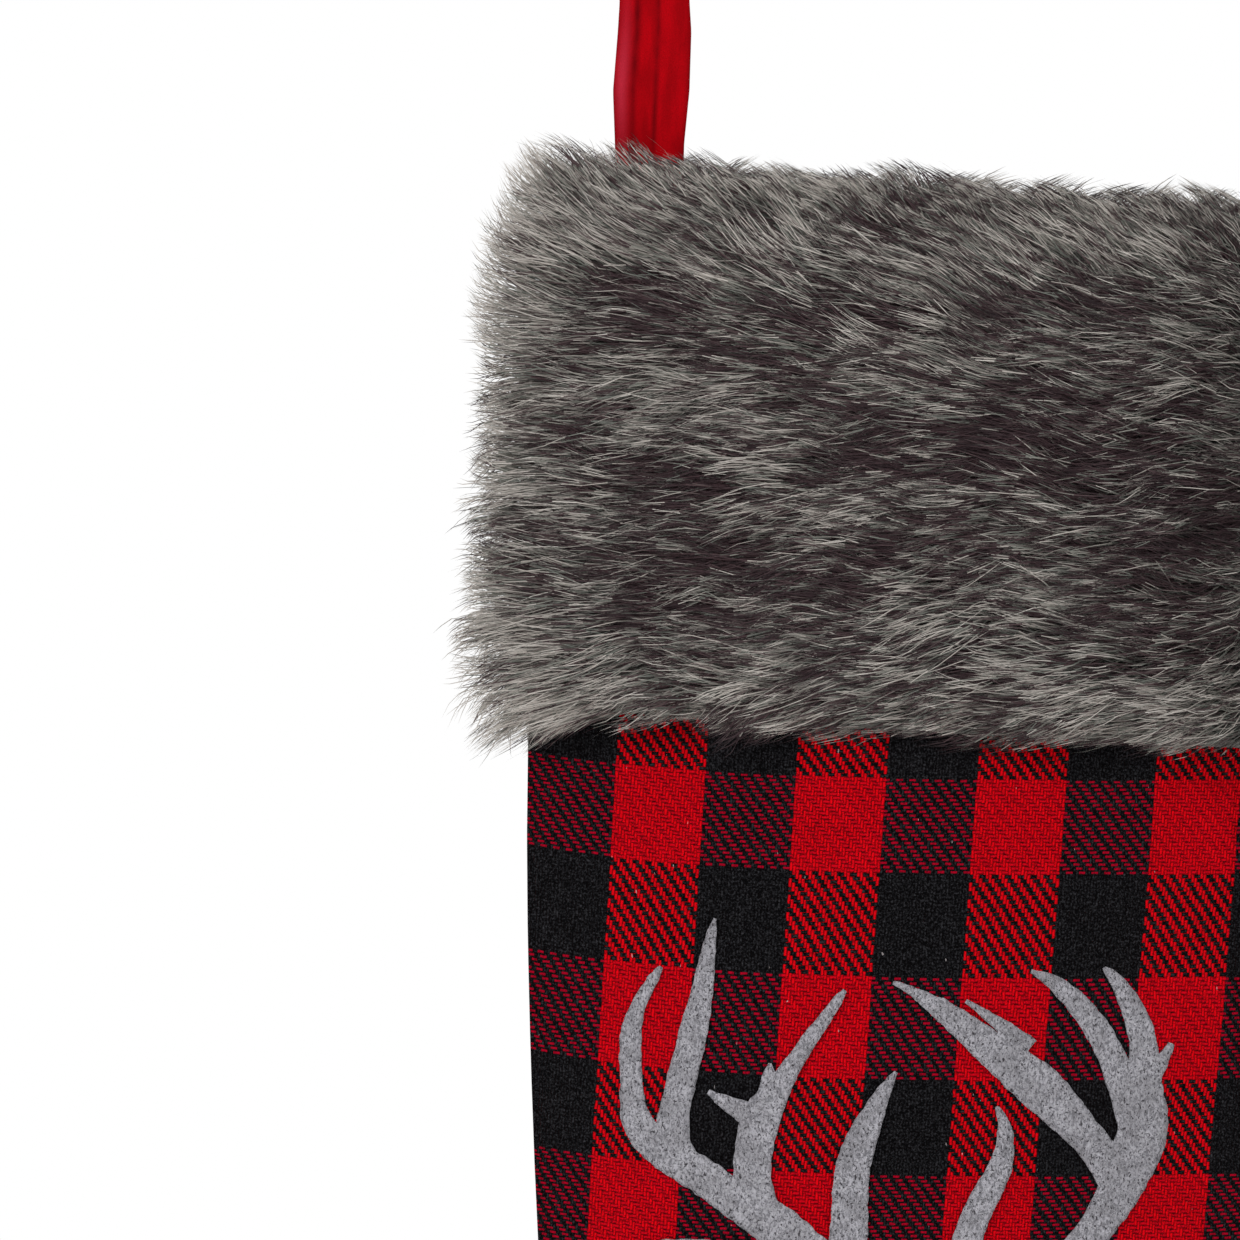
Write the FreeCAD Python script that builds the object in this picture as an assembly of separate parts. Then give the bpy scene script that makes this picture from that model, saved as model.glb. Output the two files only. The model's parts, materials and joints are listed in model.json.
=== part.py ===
"""A hanging Christmas stocking: two plaid panels and a lining sewn into a bag, a faux-fur cuff round
its mouth, a grey felt deer bonded to the front, and a velvet hanging loop that folds where it is sewn in.

The stocking is drawn upright on its own axes: u towards the toe, y towards the back and w up, with w = 0
on the line where the hanging loop folds. hang() then places it in the part's frame, where the origin is
the centre of the peg that the loop hangs on, +X is towards the toe, +Y is the back and +Z is up.
"""

import FreeCAD
import Part
import math
import os

V = FreeCAD.Vector

# Driving dimensions, in millimetres and degrees.
LOOP_DROP = 97.0  # centre of the peg to the fold of the loop
HANG_TILT = 3.4  # toe side down, seen from the front
HANG_LEAN = 1.4  # bottom to the back, which puts the centre of mass under the fold

PEG_RADIUS = 6.0
TAPE_WIDTH = 20.0
TAPE_THICKNESS = 1.2
TAPE_CLOSED = 7.0  # height over the fold where the two sides of the loop come together
FOLD_GAP = 0.4  # between the loop and its sewn tails, so that the fold turns freely
TAIL_LENGTH = 30.0

MOUTH_TOP = -5.0
ABOVE = 8.0  # how far the shapes stand over the fold before they are trimmed
FOOT_BOTTOM = -530.0  # below everything
SECTION_COUNT = 20
CUFF_BOTTOM = -146.0
PLAID_THICKNESS = 1.2
LINING_THICKNESS = 0.5
FACING_THICKNESS = 0.6
LAYER_GAP = 0.3
LAYING_GAP = 0.06  # between a thread or tape and the cloth it lies on
SEAM_ALLOWANCE = 4.0
PILE_SIDE = 19.0
PILE_FACE = 17.0
THREAD = 0.5
STITCH_LENGTH = 2.2
STITCH_PITCH = 3.2

FELT_THICKNESS = 1.2
WEB_THICKNESS = 0.15
WEB_INSET = 1.0

LABEL_U = 24.0  # the label's heel-side edge
LABEL_TOP = -35.0
LABEL_WIDTH = 18.0
LABEL_HEIGHT = 32.0
LABEL_THICKNESS = 0.3

BARTACK_HEIGHTS = (-12, -15, -24, -27)  # the rows of thread that hold the loop's tails
BARTACK_INSET = 2.5  # from the tape's edges

DEEP = 60.0  # deeper than the bag is thick, for shapes that are trimmed to it
ROOM_U = (-150.0, 350.0)  # holds the whole stocking
ROOM_Y = (-100.0, 100.0)
LEAST_DEPTH = 1.0  # of a section that is drawn inwards
LEAST_HALF_WIDTH = 0.3  # of a stroke of felt at its tip

# The bag's sections from the mouth to the toe: the heel-side seam (u, w), the toe-side seam (u, w), and
# how far each panel bulges from the plane of the seams.
SECTIONS = [
    ((-25, 0), (169, 0), 15),
    ((-25, -70), (169, -70), 15),
    ((-25, -140), (170, -138), 16),
    ((-21, -215), (174, -210), 18),
    ((-14, -290), (182, -272), 19),
    ((-10, -352), (194, -320), 20),
    ((-12, -408), (210, -348), 21),
    ((-2, -460), (227, -363), 21),
    ((34, -497), (241, -370), 21),
    ((92, -509), (255, -377), 20),
    ((160, -509), (269, -384), 19),
    ((216, -505), (284, -396), 17),
    ((252, -495), (295, -412), 13),
    ((275, -479), (301, -430), 9),
    ((290, -461), (300, -446), 4),
]

# The cuff's outer shape from top to bottom: height w, and how much the fur draws in at its rolled edges.
CUFF_LEVELS = [
    (-2, 11), (-6, 5), (-14, 1.5), (-30, 0), (-75, -1), (-120, -1), (-138, 1), (-147, 5), (-151, 11),
]

# The deer is a group of strokes on the front panel: each point is (u, w, width).
DEER_HEAD_U = 86.0
BEAM_LEFT = [
    (15, -214, 1), (13, -218, 3), (10, -224, 4), (8, -235, 6), (9, -247, 6), (11, -256, 8), (17, -263, 9),
    (30, -270, 10), (38, -275, 10), (49, -281, 12), (60, -289, 12), (77, -300, 12),
]
TINES_LEFT = [
    [(29, -200, 1), (28, -205, 3), (27, -215, 5), (25, -230, 7.5), (22, -247, 8), (21, -258, 9),
     (24, -266, 9)],
    [(30, -247, 1.5), (34, -249, 3.5), (43, -253, 7)],
    [(46, -238, 1), (46, -241, 3.5), (47, -247, 7)],
    [(65, -217, 1), (62, -222, 3), (55, -233, 4.5), (50, -242, 6), (45, -252, 10), (43, -264, 10),
     (45, -277, 12)],
    [(80, -238, 1), (77, -244, 4), (73, -254, 7.5), (70, -265, 9.5), (70, -277, 10), (68, -295, 12)],
]
BEAM_RIGHT = [
    (135, -207, 1), (139, -211, 4), (143, -217, 6), (147, -227, 7.5), (148, -238, 10), (149, -248, 13),
    (147, -257, 14), (143, -267, 12), (137, -278, 9.5), (126, -290, 10), (113, -297, 11), (98, -301, 12),
]
TINES_RIGHT = [
    [(78, -214, 1), (83, -216, 2.5), (92, -221, 6), (102, -228, 8.5), (112, -235, 11), (119, -240, 12.5),
     (127, -247, 11), (142, -263, 12)],
    [(98, -218, 1), (103, -221, 2.5), (116, -230, 6)],
    [(115, -209, 1), (120, -211, 3.5), (128, -217, 6), (135, -225, 7), (141, -236, 8), (147, -249, 11)],
    [(155, -227, 1.5), (153, -231, 3.5), (149, -238, 6)],
    [(108, -246, 1), (110, -250, 3), (111, -256, 5), (109, -265, 7), (104, -276, 8), (101, -289, 9),
     (96, -301, 11)],
]
# The ears, head and neck are measured sideways from the head's middle line.
EAR = [(72, -290, 1.5), (63, -291, 7), (53, -293, 12), (39, -297, 14), (24, -302, 12), (8, -307, 12)]
HEAD = [(0, -298, 26), (0, -306, 34), (0, -316, 38), (0, -328, 36), (0, -342, 31), (0, -354, 32)]
NECK = [(0, -344, 28), (0, -362, 42), (0, -382, 58), (0, -402, 74), (0, -418, 80), (0, -429, 66)]
CHEST_POINTS = [
    [(31, -406, 18), (29, -420, 14), (25, -436, 1)],
    [(15, -416, 22), (13, -430, 15), (10, -446, 1)],
    [(0, -420, 22), (0, -436, 14), (0, -455, 1)],
]


def interpolated(points, parameters):
    curve = Part.BSplineCurve()
    curve.interpolate(Points=points, Parameters=parameters)
    return curve


def even_sections():
    """The bag's sections at even steps along its middle, with ABOVE of leg over the mouth."""
    heels = [V(heel[0], 0, heel[1]) for heel, toe, depth in SECTIONS]
    toes = [V(toe[0], depth, toe[1]) for heel, toe, depth in SECTIONS]  # y carries the depth along
    middles = [V(heel.x + toe.x, 0, heel.z + toe.z) * 0.5 for heel, toe in zip(heels, toes)]
    distances = [0.0]
    for before, after in zip(middles, middles[1:]):
        distances.append(distances[-1] + (after - before).Length)
    heel_curve, toe_curve = [interpolated(points, distances) for points in (heels, toes)]
    sections = [(heels[0] + V(0, 0, ABOVE), V(toes[0].x, 0, toes[0].z + ABOVE), toes[0].y)]
    for i in range(SECTION_COUNT + 1):
        distance = distances[-1] * i / SECTION_COUNT
        heel, toe = heel_curve.value(distance), toe_curve.value(distance)
        sections.append((heel, V(toe.x, 0, toe.z), toe.y))
    return sections


def moved_apart(heel, toe, grow):
    """The two seam points of a section, each moved outwards along the section by grow."""
    across = (toe - heel).normalize()
    return heel - across * grow, toe + across * grow


def bag_sections(depth_grow, seam_grow):
    """The bag's sections, with the panels moved outwards by depth_grow and the seams by seam_grow."""
    sections = even_sections()
    before = (sections[-2][0] + sections[-2][1]) * 0.5
    last_heel, last_toe, last_depth = sections[-1]
    along = ((last_heel + last_toe) * 0.5 - before).normalize() * seam_grow
    sections[-1] = (last_heel + along, last_toe + along, last_depth)
    grown = []
    for heel, toe, depth in sections:
        heel, toe = moved_apart(heel, toe, seam_grow)
        grown.append((heel, toe, max(depth + depth_grow, LEAST_DEPTH)))
    return grown


def leg_at(w):
    """The leg's two seam points and depth at height w under the cuff, where the sections are level."""
    for (heel, toe, depth), (heel_below, toe_below, depth_below) in zip(SECTIONS, SECTIONS[1:]):
        if w >= heel_below[1]:
            share = (heel[1] - w) / (heel[1] - heel_below[1])
            u_heel = heel[0] + share * (heel_below[0] - heel[0])
            u_toe = toe[0] + share * (toe_below[0] - toe[0])
            return V(u_heel, 0, w), V(u_toe, 0, w), depth + share * (depth_below - depth)
    raise ValueError("height below the sections")


def half_lens(heel, toe, depth, side):
    """Half of a flat bag's section: the chord between its seams and an arc to the front or back."""
    middle = (heel + toe) * 0.5 + V(0, side * depth, 0)
    return Part.Wire([Part.Arc(heel, middle, toe).toShape(), Part.LineSegment(toe, heel).toShape()])


def half_ellipse(heel, toe, depth, side):
    centre = (heel + toe) * 0.5
    ellipse = Part.Ellipse(toe, centre + V(0, side * depth, 0), centre)
    return Part.Wire([Part.Arc(ellipse, 0, math.pi).toShape(), Part.LineSegment(heel, toe).toShape()])


def loft(sections, side, outline=half_lens):
    return Part.makeLoft([outline(heel, toe, depth, side) for heel, toe, depth in sections], True, False)


def bag_half(side, depth_grow, seam_grow):
    """The front (-1) or back (1) half of the bag as a solid that stands ABOVE over its mouth."""
    return loft(bag_sections(depth_grow, seam_grow), side)


def between(shape, low, high):
    """The part of a shape between two heights."""
    corner = V(ROOM_U[0], ROOM_Y[0], low)
    return shape.common(Part.makeBox(ROOM_U[1] - ROOM_U[0], ROOM_Y[1] - ROOM_Y[0], high - low, corner))


PLAID_INSIDE = (-PLAID_THICKNESS, -SEAM_ALLOWANCE)
LINING_OUTSIDE = (-PLAID_THICKNESS - LAYER_GAP, -SEAM_ALLOWANCE - LAYER_GAP)
LINING_INSIDE = (LINING_OUTSIDE[0] - LINING_THICKNESS, LINING_OUTSIDE[1] - SEAM_ALLOWANCE)
FACING_INSIDE = LAYER_GAP
FACING_OUTSIDE = FACING_INSIDE + FACING_THICKNESS
FUR_INSIDE = FACING_OUTSIDE + LAYER_GAP


def seam_thread(inset):
    """A thread in the plane of the seams, down the heel side, round the toe and up the other side."""
    edges = []
    for offset in (inset, inset + THREAD):
        sections = bag_sections(0, -offset)
        points = [heel for heel, toe, depth in sections]
        points += [toe for heel, toe, depth in reversed(sections)]
        curve = Part.BSplineCurve()
        curve.interpolate(points)
        edges.append(curve.toShape())
    outer, inner = edges
    ends = [
        Part.LineSegment(outer.Vertexes[-1].Point, inner.Vertexes[-1].Point).toShape(),
        Part.LineSegment(inner.Vertexes[0].Point, outer.Vertexes[0].Point).toShape(),
    ]
    face = Part.Face(Part.Wire(Part.sortEdges([outer, inner] + ends)[0]))
    face.translate(V(0, -THREAD / 2, 0))
    return between(face.extrude(V(0, THREAD, 0)), FOOT_BOTTOM, MOUTH_TOP)


def panel(side, outside, inside, threads):
    """One half of a sewn bag of cloth, between two grown outlines, cut away where its threads lie."""
    cloth = bag_half(side, *outside).cut(bag_half(side, *inside))
    return between(cloth, FOOT_BOTTOM, MOUTH_TOP).cut(threads)


def cuff_facing(side):
    """The plain cloth behind the fur."""
    outside = bag_half(side, FACING_OUTSIDE, FACING_OUTSIDE)
    cloth = outside.cut(bag_half(side, FACING_INSIDE, FACING_INSIDE))
    return between(cloth, CUFF_BOTTOM, MOUTH_TOP)


def fur_pile(side, threads):
    """One half of the fur: its rolled outer shape round the space that the leg and the facing fill."""
    sections = []
    for w, drawn_in in CUFF_LEVELS:
        heel, toe, depth = leg_at(w)
        heel, toe = moved_apart(heel, toe, PILE_SIDE - drawn_in)
        sections.append((heel, toe, depth + PILE_FACE - drawn_in))
    outside = loft(sections, side, half_ellipse)
    return outside.cut(bag_half(side, FUR_INSIDE, FUR_INSIDE)).cut(threads)


def cuff_side_threads():
    """The two threads that close the cuff's side seams."""
    heel, toe, depth = leg_at(MOUTH_TOP)
    depth_in = FUR_INSIDE + SEAM_ALLOWANCE
    length = MOUTH_TOP - CUFF_BOTTOM - 2 * SEAM_ALLOWANCE
    bottom = CUFF_BOTTOM + SEAM_ALLOWANCE
    heel_thread = Part.makeBox(THREAD, THREAD, length, V(heel.x - depth_in - THREAD, -THREAD / 2, bottom))
    toe_thread = Part.makeBox(THREAD, THREAD, length, V(toe.x + depth_in, -THREAD / 2, bottom))
    return Part.makeCompound([heel_thread, toe_thread])


def ring(outer_grow, inner_grow, w):
    """A thread that goes round the bag at height w, between two grown outlines of the leg."""
    rings = []
    for depth_grow, seam_grow in (outer_grow, inner_grow):
        halves = []
        for side in (-1, 1):
            heel, toe, depth = leg_at(w)
            heel, toe = moved_apart(heel, toe, seam_grow)
            middle = (heel + toe) * 0.5 + V(0, side * (depth + depth_grow), 0)
            halves.append(Part.Arc(heel, middle, toe).toShape())
        rings.append(Part.Face(Part.Wire(halves)).extrude(V(0, 0, THREAD)))
    return rings[0].cut(rings[1])


def mouth_thread():
    outer = (LINING_INSIDE[0] - LAYING_GAP, LINING_INSIDE[1] - LAYING_GAP)
    return ring(outer, (outer[0] - THREAD, outer[1] - THREAD), MOUTH_TOP - SEAM_ALLOWANCE)


def cuff_hem_thread():
    return ring((FACING_INSIDE - LAYING_GAP,) * 2, (LAYING_GAP,) * 2, CUFF_BOTTOM + SEAM_ALLOWANCE)


def against_lining(u_low, u_high, w_low, w_high, thickness):
    """A flat cloth piece that lies on the inner face of the back lining."""
    depth_grow, seam_grow = LINING_INSIDE
    space = bag_half(1, depth_grow - LAYING_GAP, seam_grow - LAYING_GAP)
    nearer = space.copy()
    nearer.translate(V(0, -thickness, 0))
    corner = V(u_low, -thickness, w_low)
    block = Part.makeBox(u_high - u_low, DEEP, w_high - w_low, corner)
    front = Part.makeBox(u_high - u_low, thickness, w_high - w_low, corner)
    return space.common(block).fuse(front).cut(nearer)


def loop_tails():
    """The loop's two ends, on each other, sewn to the back lining inside the mouth."""
    top = -TAPE_THICKNESS - FOLD_GAP
    return against_lining(-TAPE_WIDTH / 2, TAPE_WIDTH / 2, top - TAIL_LENGTH, top, 2 * TAPE_THICKNESS)


def tail_y():
    """How far behind the plane of the seams the middle of the tails lies."""
    middle = loop_tails().common(Part.makeBox(1, DEEP, 1, V(-0.5, -DEEP / 2, MOUTH_TOP - 1)))
    return middle.CenterOfGravity.y


def care_label():
    right = LABEL_U + LABEL_WIDTH
    bottom = LABEL_TOP - LABEL_HEIGHT
    return against_lining(LABEL_U, right, bottom, LABEL_TOP, LABEL_THICKNESS)


def bartack(tails):
    """The rows of thread that hold the tails: short bars proud of the tape's front face."""
    rows = []
    width = TAPE_WIDTH - 2 * BARTACK_INSET
    for w in BARTACK_HEIGHTS:
        bar = Part.makeBox(width, DEEP, THREAD, V(-width / 2, -DEEP / 2, w))
        raised = tails.copy()
        raised.translate(V(0, -THREAD, 0))
        rows.append(raised.cut(tails).common(bar))
    return Part.makeCompound(rows)


def loop_tangent(radius, half_gap, height):
    """Where a line from (half_gap, height) touches the circle of this radius about the peg's centre."""
    distance = math.hypot(half_gap, height)
    turn = math.acos(radius / distance)
    angle = math.atan2(height, half_gap) + turn
    return V(0, radius * math.cos(angle), radius * math.sin(angle))


def mirrored(point):
    return V(point.x, -point.y, point.z)


def teardrop(radius, half_gap, height):
    """The edges of a drop shape: round the peg's top and straight down to (+-half_gap, height)."""
    touch = loop_tangent(radius, half_gap, height)
    foot = V(0, half_gap, height)
    over = Part.Arc(touch, V(0, 0, radius), mirrored(touch)).toShape()
    down = Part.LineSegment(mirrored(touch), mirrored(foot)).toShape()
    up = Part.LineSegment(foot, touch).toShape()
    return [up, over, down]


def hanging_loop():
    """The velvet tape round the peg, with a rounded end on the fold's axis."""
    closed = TAPE_CLOSED - LOOP_DROP
    outer = teardrop(PEG_RADIUS + TAPE_THICKNESS, TAPE_THICKNESS, closed)
    corner = V(0, TAPE_THICKNESS, closed)
    end = V(0, TAPE_THICKNESS, -LOOP_DROP)
    edges = outer + [
        Part.LineSegment(mirrored(corner), mirrored(end)).toShape(),
        Part.Arc(mirrored(end), V(0, 0, -LOOP_DROP - TAPE_THICKNESS), end).toShape(),
        Part.LineSegment(end, corner).toShape(),
    ]
    inner = teardrop(PEG_RADIUS, 0, closed)
    solids = []
    for outline in (edges, inner):
        face = Part.Face(Part.Wire(outline))
        face.translate(V(-TAPE_WIDTH / 2, 0, 0))
        solids.append(face.extrude(V(TAPE_WIDTH, 0, 0)))
    return solids[0].cut(solids[1])


def loop_topstitch():
    """The stitches that close the folded tape, down the middle of both outer faces."""
    touch = loop_tangent(PEG_RADIUS + TAPE_THICKNESS, TAPE_THICKNESS, TAPE_CLOSED - LOOP_DROP)
    corner = V(0, TAPE_THICKNESS, TAPE_CLOSED - LOOP_DROP)
    slope = math.degrees(math.atan2(touch.y - corner.y, touch.z - corner.z))
    stitches = []
    count = int((touch.z - corner.z) / STITCH_PITCH)
    for side in (-1, 1):
        for i in range(count):
            stitch = Part.makeBox(THREAD, THREAD, STITCH_LENGTH, V(-THREAD / 2, 0, 0))
            stitch.rotate(V(0, 0, 0), V(1, 0, 0), -slope)
            stitch.translate(corner + (touch - corner) * (i / count))
            if side < 0:
                stitch = stitch.mirror(V(0, 0, 0), V(0, 1, 0))
            stitches.append(stitch)
    return Part.makeCompound(stitches)


def stroke(points, inset):
    """A tapered stroke of felt as a prism along y, from its middle line and widths."""
    lefts = []
    rights = []
    for i, (u, w, width) in enumerate(points):
        before = points[max(i - 1, 0)]
        after = points[min(i + 1, len(points) - 1)]
        along = V(after[0] - before[0], 0, after[1] - before[1]).normalize()
        aside = V(along.z, 0, -along.x) * max(width / 2 - inset, LEAST_HALF_WIDTH)
        lefts.append(V(u, 0, w) + aside)
        rights.append(V(u, 0, w) - aside)
    edges = []
    for line in (lefts, rights):
        curve = Part.BSplineCurve()
        curve.interpolate(line)
        edges.append(curve.toShape())
    edges.append(Part.LineSegment(lefts[0], rights[0]).toShape())
    edges.append(Part.LineSegment(lefts[-1], rights[-1]).toShape())
    face = Part.Face(Part.Wire(Part.sortEdges(edges)[0]))
    return face.extrude(V(0, -DEEP, 0))


def beside_head(points, side):
    """A stroke drawn to the toe side (1) or heel side (-1) of the deer's middle line."""
    return [(DEER_HEAD_U + side * u, w, width) for u, w, width in points]


def deer(inset, depth_from, depth_to):
    """The deer's outline laid on the front panel, between two distances from the plaid."""
    strokes = [BEAM_LEFT, BEAM_RIGHT] + TINES_LEFT + TINES_RIGHT
    strokes += [beside_head(points, side) for points in [EAR] + CHEST_POINTS for side in (-1, 1)]
    strokes += [beside_head(points, 1) for points in (HEAD, NECK)]
    prisms = [stroke(points, inset) for points in strokes]
    outline = prisms[0].multiFuse(prisms[1:]).removeSplitter()
    laid = outline.common(bag_half(-1, depth_to, depth_to))
    return laid.cut(bag_half(-1, depth_from, depth_from))


def hang(shape, sewn_y):
    """Places an upright piece in the part's frame, hanging from the loop's fold."""
    placed = shape.copy()
    placed.translate(V(0, -sewn_y, 0))
    placed.rotate(V(0, 0, 0), V(1, 0, 0), HANG_LEAN)
    placed.rotate(V(0, 0, 0), V(0, 1, 0), HANG_TILT)
    placed.translate(V(0, 0, -LOOP_DROP))
    return placed


def stocking_pieces():
    """Every piece that hangs below the fold, upright, by name."""
    plaid_thread = seam_thread(SEAM_ALLOWANCE / 2)
    lining_thread = seam_thread(SEAM_ALLOWANCE / 2 - LINING_OUTSIDE[1])
    seam_threads = Part.makeCompound([plaid_thread, lining_thread])
    cuff_threads = cuff_side_threads()
    tails = loop_tails()
    web_from = LAYING_GAP
    felt_from = web_from + WEB_THICKNESS + LAYING_GAP
    return {
        "plaid_panel_front": panel(-1, (0, 0), PLAID_INSIDE, seam_threads),
        "plaid_panel_back": panel(1, (0, 0), PLAID_INSIDE, seam_threads),
        "plaid_seam_thread": plaid_thread,
        "lining_front": panel(-1, LINING_OUTSIDE, LINING_INSIDE, seam_threads),
        "lining_back": panel(1, LINING_OUTSIDE, LINING_INSIDE, seam_threads),
        "lining_seam_thread": lining_thread,
        "cuff_facing_front": cuff_facing(-1),
        "cuff_facing_back": cuff_facing(1),
        "cuff_fur_front": fur_pile(-1, cuff_threads),
        "cuff_fur_back": fur_pile(1, cuff_threads),
        "cuff_side_seam_threads": cuff_threads,
        "cuff_hem_thread": cuff_hem_thread(),
        "mouth_seam_thread": mouth_thread().cut(tails),
        "loop_sewn_tails": tails,
        "loop_bartack_thread": bartack(tails),
        "care_label": care_label(),
        "deer_felt": deer(0, felt_from, felt_from + FELT_THICKNESS),
        "deer_bonding_web": deer(WEB_INSET, web_from, web_from + WEB_THICKNESS),
    }


def main():
    os.makedirs("parts", exist_ok=True)
    sewn_y = tail_y()
    stocking = {name: hang(shape, sewn_y) for name, shape in stocking_pieces().items()}
    loop = {"hanging_loop": hanging_loop(), "loop_topstitch_thread": loop_topstitch()}
    for name, shape in {**loop, **stocking}.items():
        shape.exportStep(f"parts/{name}.step")
        box = shape.optimalBoundingBox()
        print(f"{name:24s} {len(shape.Solids):3d} solids {shape.Volume:10.0f} mm3 valid {shape.isValid()}")
        print(f"    x {box.XMin:.1f} {box.XMax:.1f} y {box.YMin:.1f} {box.YMax:.1f}"
              f" z {box.ZMin:.1f} {box.ZMax:.1f}")
    volume = sum(shape.Volume for shape in stocking.values())
    moment = sum((shape.CenterOfGravity * shape.Volume for shape in stocking.values()), V(0, 0, 0))
    centre = moment * (1 / volume)
    print(f"the stocking's centre is {centre.y:.2f} mm behind the fold"
          f" and {-LOOP_DROP - centre.z:.1f} mm below it, sewn {sewn_y:.2f} mm behind the seams")


main()
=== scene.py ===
"""The looks of the hanging stocking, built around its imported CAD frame.

Most pieces are made upright, as the stocking is sewn: u towards the toe, y towards the back and w up, with
w = 0 where the hanging loop folds. The upright axes are then tilted into the row frame. All is in metres.
"""

import json
import math

import bmesh
import bpy
import numpy as np
from mathutils import Matrix, Vector
from mathutils.bvhtree import BVHTree
from mathutils.geometry import delaunay_2d_cdt

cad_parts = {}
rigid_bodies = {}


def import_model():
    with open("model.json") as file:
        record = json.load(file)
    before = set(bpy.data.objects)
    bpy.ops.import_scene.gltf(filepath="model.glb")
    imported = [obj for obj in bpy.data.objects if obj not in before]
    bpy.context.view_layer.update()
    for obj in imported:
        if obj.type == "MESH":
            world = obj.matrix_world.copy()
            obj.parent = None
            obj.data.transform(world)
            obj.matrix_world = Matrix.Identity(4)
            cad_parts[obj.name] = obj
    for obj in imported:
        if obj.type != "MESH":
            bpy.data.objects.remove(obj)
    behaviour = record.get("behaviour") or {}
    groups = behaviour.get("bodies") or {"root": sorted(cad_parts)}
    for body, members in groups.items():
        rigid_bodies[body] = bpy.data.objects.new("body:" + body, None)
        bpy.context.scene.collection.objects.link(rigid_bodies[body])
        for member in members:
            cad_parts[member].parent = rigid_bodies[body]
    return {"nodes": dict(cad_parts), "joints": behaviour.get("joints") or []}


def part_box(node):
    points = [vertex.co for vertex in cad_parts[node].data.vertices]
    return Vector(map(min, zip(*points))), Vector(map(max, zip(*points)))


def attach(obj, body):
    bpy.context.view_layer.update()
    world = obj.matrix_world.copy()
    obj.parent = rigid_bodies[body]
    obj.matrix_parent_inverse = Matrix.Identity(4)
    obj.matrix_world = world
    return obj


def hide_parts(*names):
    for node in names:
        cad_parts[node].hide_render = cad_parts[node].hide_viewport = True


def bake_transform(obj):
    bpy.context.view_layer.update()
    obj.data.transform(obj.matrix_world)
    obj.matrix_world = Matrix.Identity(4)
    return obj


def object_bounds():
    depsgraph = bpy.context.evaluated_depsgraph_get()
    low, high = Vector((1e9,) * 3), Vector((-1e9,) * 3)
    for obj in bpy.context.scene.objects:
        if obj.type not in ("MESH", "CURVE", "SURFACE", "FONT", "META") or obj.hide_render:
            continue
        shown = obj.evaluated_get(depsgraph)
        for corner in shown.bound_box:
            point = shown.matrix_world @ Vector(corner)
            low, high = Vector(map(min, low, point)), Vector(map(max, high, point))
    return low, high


for leftover in list(bpy.data.objects):
    bpy.data.objects.remove(leftover)
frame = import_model()
cad_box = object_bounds()

MM = 0.001
rng = np.random.default_rng(7)

# How the stocking hangs from the fold of its loop, as in the CAD model.
FOLD = Vector(frame["joints"][0]["pos_m"])
HANG_TILT = math.radians(3.4)  # toe side down
HANG_LEAN = math.radians(1.4)  # bottom to the back
SEAMS_AHEAD = 3.25 * MM  # the plane of the side seams, in front of the fold
UPRIGHT = (
    Matrix.Translation(FOLD)
    @ Matrix.Rotation(HANG_TILT, 4, "Y")
    @ Matrix.Rotation(HANG_LEAN, 4, "X")
    @ Matrix.Translation((0, -SEAMS_AHEAD, 0))
)
WELD = 0.02 * MM
NOISE_WAVES = 6  # how many waves make up an octave of smooth_noise


# -------- geometry helpers

def to_row(points):
    """Upright points in the row frame."""
    matrix = np.array(UPRIGHT)
    return np.asarray(points) @ matrix[:3, :3].T + matrix[:3, 3]


def new_object(name, data, materials=()):
    piece = bpy.data.objects.new(name, data)
    bpy.context.scene.collection.objects.link(piece)
    for material in materials:
        data.materials.append(material)
    return piece


def mesh_from_arrays(name, points, loops, starts, material_index=None):
    """A mesh from its points, every face's corners in one row, and where each face starts in that row."""
    mesh = bpy.data.meshes.new(name)
    mesh.vertices.add(len(points))
    mesh.vertices.foreach_set("co", np.asarray(points, np.float32).ravel())
    mesh.loops.add(len(loops))
    mesh.loops.foreach_set("vertex_index", np.asarray(loops, np.int32))
    mesh.polygons.add(len(starts))
    mesh.polygons.foreach_set("loop_start", np.asarray(starts, np.int32))
    if material_index is not None:
        mesh.polygons.foreach_set("material_index", np.asarray(material_index, np.int32))
    mesh.polygons.foreach_set("use_smooth", np.ones(len(starts), bool))
    mesh.update(calc_edges=True)
    return mesh


def store_vectors(mesh, name, vectors):
    """Three numbers at every point, for a material to read."""
    stored = mesh.attributes.new(name, "FLOAT_VECTOR", "POINT")
    stored.data.foreach_set("vector", vectors.astype(np.float32).ravel())


def smooth_noise(points, scale, seed, octaves=2):
    """Soft noise between about -1 and 1 at each point, from sums of waves in random directions."""
    source = np.random.default_rng(seed)
    total = np.zeros(len(points))
    weight = 1.0
    norm = 0.0
    for octave in range(octaves):
        for _ in range(NOISE_WAVES):
            direction = source.normal(size=3)
            direction /= np.linalg.norm(direction)
            length = scale / 2**octave * source.uniform(0.7, 1.5)
            phase = source.uniform(0, 2 * math.pi)
            total += weight * np.sin(points @ direction * (2 * math.pi / length) + phase)
        norm += weight * math.sqrt(NOISE_WAVES / 2)
        weight *= 0.5
    return total / norm * 0.7


def hill(values, middle, reach):
    """1 at the middle, falling smoothly away over the reach."""
    return np.exp(-(((values - middle) / reach) ** 2))


def distances(line):
    """How far along a line each of its points is."""
    return np.concatenate([[0], np.cumsum(np.linalg.norm(np.diff(line, axis=0), axis=1))])


def at_distances(places, distance, rows):
    """Rows of numbers, given at some distances along a line, at other places along it."""
    return np.stack([np.interp(places, distance, column) for column in rows.T], 1)


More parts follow.
